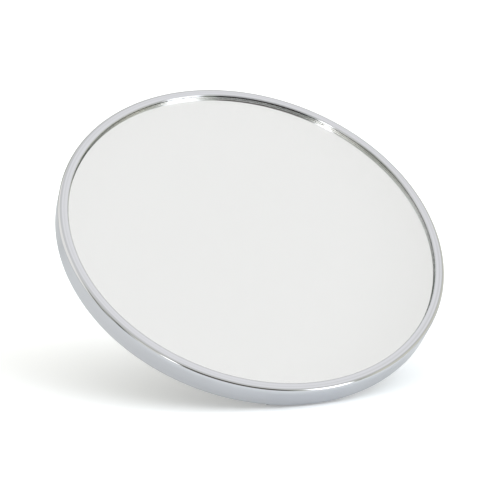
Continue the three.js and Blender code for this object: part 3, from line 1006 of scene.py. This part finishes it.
def studio_world():
    """Light by direction: ceiling and walls, the diffuser, wall lights, dark flags and lamps."""
    world = bpy.data.worlds.new("studio")
    bpy.context.scene.world = world
    world.use_nodes = True
    nodes, links = world.node_tree.nodes, world.node_tree.links
    background = nodes["Background"]

    def calc(operation, *values):
        node = nodes.new("ShaderNodeMath")
        node.operation = operation
        for slot, value in enumerate(values):
            if isinstance(value, bpy.types.NodeSocket):
                links.new(value, node.inputs[slot])
            else:
                node.inputs[slot].default_value = value
        return node.outputs[0]

    def fade(value, full, none):
        """1 up to full, 0 from none on, smooth between them."""
        node = nodes.new("ShaderNodeMapRange")
        node.interpolation_type = "SMOOTHSTEP"
        links.new(value, node.inputs["Value"])
        node.inputs["From Min"].default_value = full
        node.inputs["From Max"].default_value = none
        node.inputs["To Min"].default_value = 1
        node.inputs["To Max"].default_value = 0
        return node.outputs["Result"]

    def over(factor, below, colour):
        node = nodes.new("ShaderNodeMix")
        node.data_type = "RGBA"
        links.new(factor, node.inputs[0])
        if isinstance(below, bpy.types.NodeSocket):
            links.new(below, node.inputs[6])
        else:
            node.inputs[6].default_value = (*below, 1)
        node.inputs[7].default_value = (*colour, 1)
        return node.outputs[2]

    ray = nodes.new("ShaderNodeTexCoord").outputs["Generated"]
    split = nodes.new("ShaderNodeSeparateXYZ")
    links.new(ray, split.inputs[0])
    ahead = calc("MULTIPLY", split.outputs["Y"], -1.0)
    azimuth = calc("DEGREES", calc("ARCTAN2", split.outputs["X"], ahead))
    elevation = calc("DEGREES", calc("ARCSINE", split.outputs["Z"]))
    light = over(fade(elevation, *CEILING_FADE), CEILING, WALLS)
    along = nodes.new("ShaderNodeVectorMath")
    along.operation = "DOT_PRODUCT"
    links.new(ray, along.inputs[0])
    along.inputs[1].default_value = direction(DIFFUSER["azimuth"], DIFFUSER["elevation"])
    away = calc("DEGREES", calc("ARCCOSINE", along.outputs["Value"]))
    light = over(fade(away, DIFFUSER["full"], DIFFUSER["none"]), light, DIFFUSER["colour"])
    path = nodes.new("ShaderNodeLightPath").outputs
    only_silver = calc("LESS_THAN", path["Glossy Depth"], 1.5)  # one reflection, on the way through glass
    in_the_glass = calc("MULTIPLY", path["Is Transmission Ray"], only_silver)
    off_metal = calc("SUBTRACT", 1.0, in_the_glass)
    for item in WALL_LIGHTS + FLAGS + LAMPS:
        _, middle, height_at, width, height, soft, colour = item
        aside = calc("ABSOLUTE", calc("SUBTRACT", azimuth, middle))
        above = calc("ABSOLUTE", calc("SUBTRACT", elevation, height_at))
        inside = calc(
            "MULTIPLY",
            fade(aside, (width - soft) / 2, (width + soft) / 2),
            fade(above, (height - soft) / 2, (height + soft) / 2),
        )
        if item in FLAGS:
            inside = calc("MULTIPLY", inside, off_metal)
        light = over(inside, light, colour)
    links.new(over(path["Is Camera Ray"], light, (1.0, 1.0, 1.0)), background.inputs["Color"])


def floor():
    """A plain pale counter top with a little light of its own, and painted shade where chrome mirrors it.

    The painted shade grows with the distance from the middle of the mirror's footprint.
    """
    look = Look("pale_counter", Roughness=0.7, Specular_IOR_Level=0.2, Emission_Strength=1.0)
    mirrored = look.add("ShaderNodeLightPath").outputs["Is Glossy Ray"]
    mottle = look.math("MULTIPLY", look.noise(3.0, 2.0), 0.06)
    falloff = look.remap(look.radius(), *DIM_FROM, *DIM_BY)
    # painted shade: the floor that chrome mirrors is darker, the more so far from the middle
    dimmer = look.math("ADD", look.math("MULTIPLY", mirrored, falloff), mottle)
    shade = look.blend(dimmer, (0.90, 0.90, 0.90), (0.48, 0.48, 0.48))
    glow = look.blend(dimmer, (0.31, 0.315, 0.32), (0.10, 0.105, 0.11))
    surface = look.done(Base_Color=shade, Emission_Color=glow)
    bpy.ops.mesh.primitive_plane_add(size=FLOOR_SIZE)
    counter = bpy.context.object
    counter.name = "counter"
    counter.data.materials.append(surface)


def soft_lights():
    for name, azimuth, elevation, spread, strength, colour in SOFT_LIGHTS:
        data = bpy.data.lights.new(name, "SUN")
        data.angle = math.radians(spread)
        data.energy = strength
        data.color = colour
        lamp = bpy.data.objects.new(name, data)
        lamp.rotation_mode = "QUATERNION"
        lamp.rotation_quaternion = direction(azimuth, elevation).to_track_quat("Z", "Y")
        lamp.visible_glossy = False
        lamp.visible_transmission = False
        bpy.context.scene.collection.objects.link(lamp)


# The photograph's viewpoint: directions in degrees, the lens in millimetres, the rest in metres.
VIEW = {
    "azimuth": -21.75,
    "elevation": 9.52,
    "distance": 0.8,
    "lens": 114.5,
    "aside": 0.0030,
    "below": 0.0108,
}


def camera():
    """Level camera at the viewing angle, aimed a little below and left of the glass's middle."""
    back = direction(VIEW["azimuth"], VIEW["elevation"])
    right = Vector((0, 0, 1)).cross(back).normalized()
    up = back.cross(right)
    data = bpy.data.cameras.new("camera")
    data.lens = VIEW["lens"]
    eye = bpy.data.objects.new("camera", data)
    aim = DISC.translation - right * VIEW["aside"] - up * VIEW["below"]
    eye.location = aim + back * VIEW["distance"]
    eye.rotation_mode = "QUATERNION"
    eye.rotation_quaternion = back.to_track_quat("Z", "Y")
    bpy.context.scene.collection.objects.link(eye)
    bpy.context.scene.camera = eye


studio_world()
floor()
soft_lights()
camera()
bpy.context.scene.view_settings.view_transform = "Standard"
